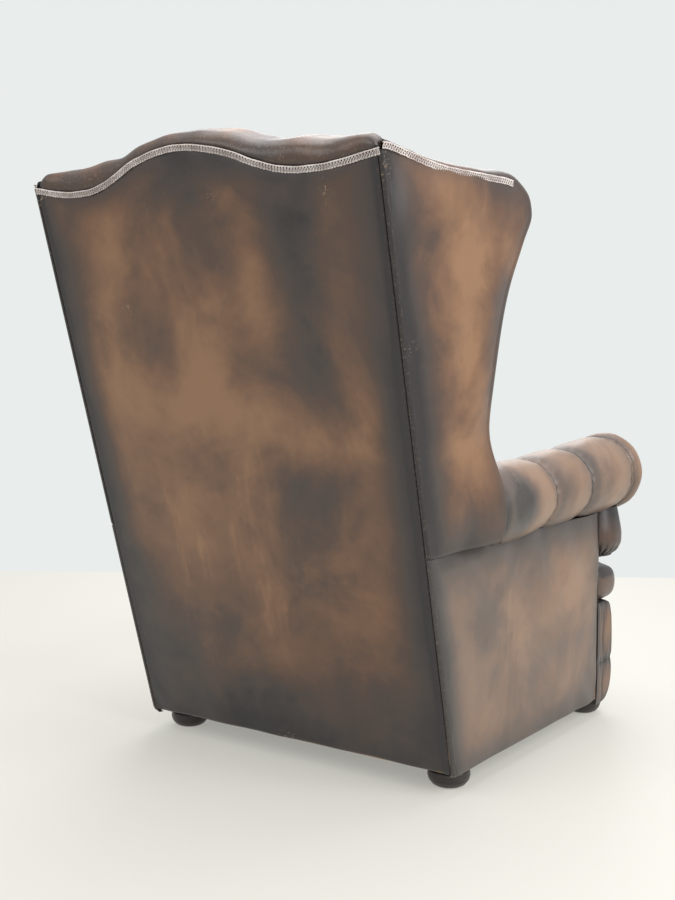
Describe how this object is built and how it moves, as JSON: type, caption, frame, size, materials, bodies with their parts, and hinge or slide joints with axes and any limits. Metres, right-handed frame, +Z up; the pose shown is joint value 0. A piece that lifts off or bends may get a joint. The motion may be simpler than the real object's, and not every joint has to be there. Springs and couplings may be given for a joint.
{
  "type": "wing armchair",
  "caption": "Leather wing armchair with a raked camel-shaped back, channelled rolled arms, turned bun feet, braid trim and a loose T-shaped seat cushion that lifts out to the front.",
  "frame": {"origin": "on the floor under the middle of the chair's overall box", "axes": "+Z up, the chair faces -Y, +X is the sitter's left"},
  "size_m": [0.8288, 0.9932, 1.1098],
  "materials": {
    "leather": "antiqued satin",
    "stuffed_leather": "antiqued satin leather over stuffing",
    "frame_wood": "bare",
    "foot_wood": "dark polished",
    "bolt_steel": "zinc plated",
    "webbing": "woven jute",
    "gimp": "looped braid",
    "dust_cloth": "black lining",
    "foam": "foam",
    "deck_cloth": "padded platform"
  },
  "bodies": {
    "chair": {"arm_buttons_left": "leather", "arm_buttons_right": "leather", "arm_front_left": "stuffed_leather", "arm_front_right": "stuffed_leather", "arm_post_left": "frame_wood", "arm_post_right": "frame_wood", "arm_rail_left": "frame_wood", "arm_rail_right": "frame_wood", "arm_roll_left": "stuffed_leather", "arm_roll_right": "stuffed_leather", "arm_webbing_left": "webbing", "arm_webbing_right": "webbing", "back_buttons": "leather", "back_webbing": "webbing", "border_buttons": "leather", "bun_feet": "foot_wood", "corner_blocks": "frame_wood", "crest_rail": "frame_wood", "dust_cover": "dust_cloth", "foot_bolts": "bolt_steel", "front_border": "stuffed_leather", "front_rail": "frame_wood", "gimp_back": "gimp", "gimp_wing_left": "gimp", "gimp_wing_right": "gimp", "inside_arm_left": "stuffed_leather", "inside_arm_right": "stuffed_leather", "inside_back": "stuffed_leather", "inside_wing_left": "stuffed_leather", "inside_wing_right": "stuffed_leather", "outside_arm_left": "leather", "outside_arm_right": "leather", "outside_back": "leather", "outside_wing_left": "leather", "outside_wing_right": "leather", "rear_bottom_rail": "frame_wood", "rear_post_left": "frame_wood", "rear_post_right": "frame_wood", "rear_seat_rail": "frame_wood", "seat_deck": "deck_cloth", "seat_webbing_cross": "webbing", "seat_webbing_long": "webbing", "side_rail_left": "frame_wood", "side_rail_right": "frame_wood", "wing_buttons_left": "leather", "wing_buttons_right": "leather", "wing_frame_left": "frame_wood", "wing_frame_right": "frame_wood"},
    "seat_cushion": {"cushion_cover": "leather", "cushion_core": "foam"}
  },
  "joints": [
    {"name": "cushion_slide", "type": "slide", "parent": "chair", "child": "seat_cushion", "axis": [0, -0.9986, 0.0523], "range_m": [0, 0.62]}
  ]
}
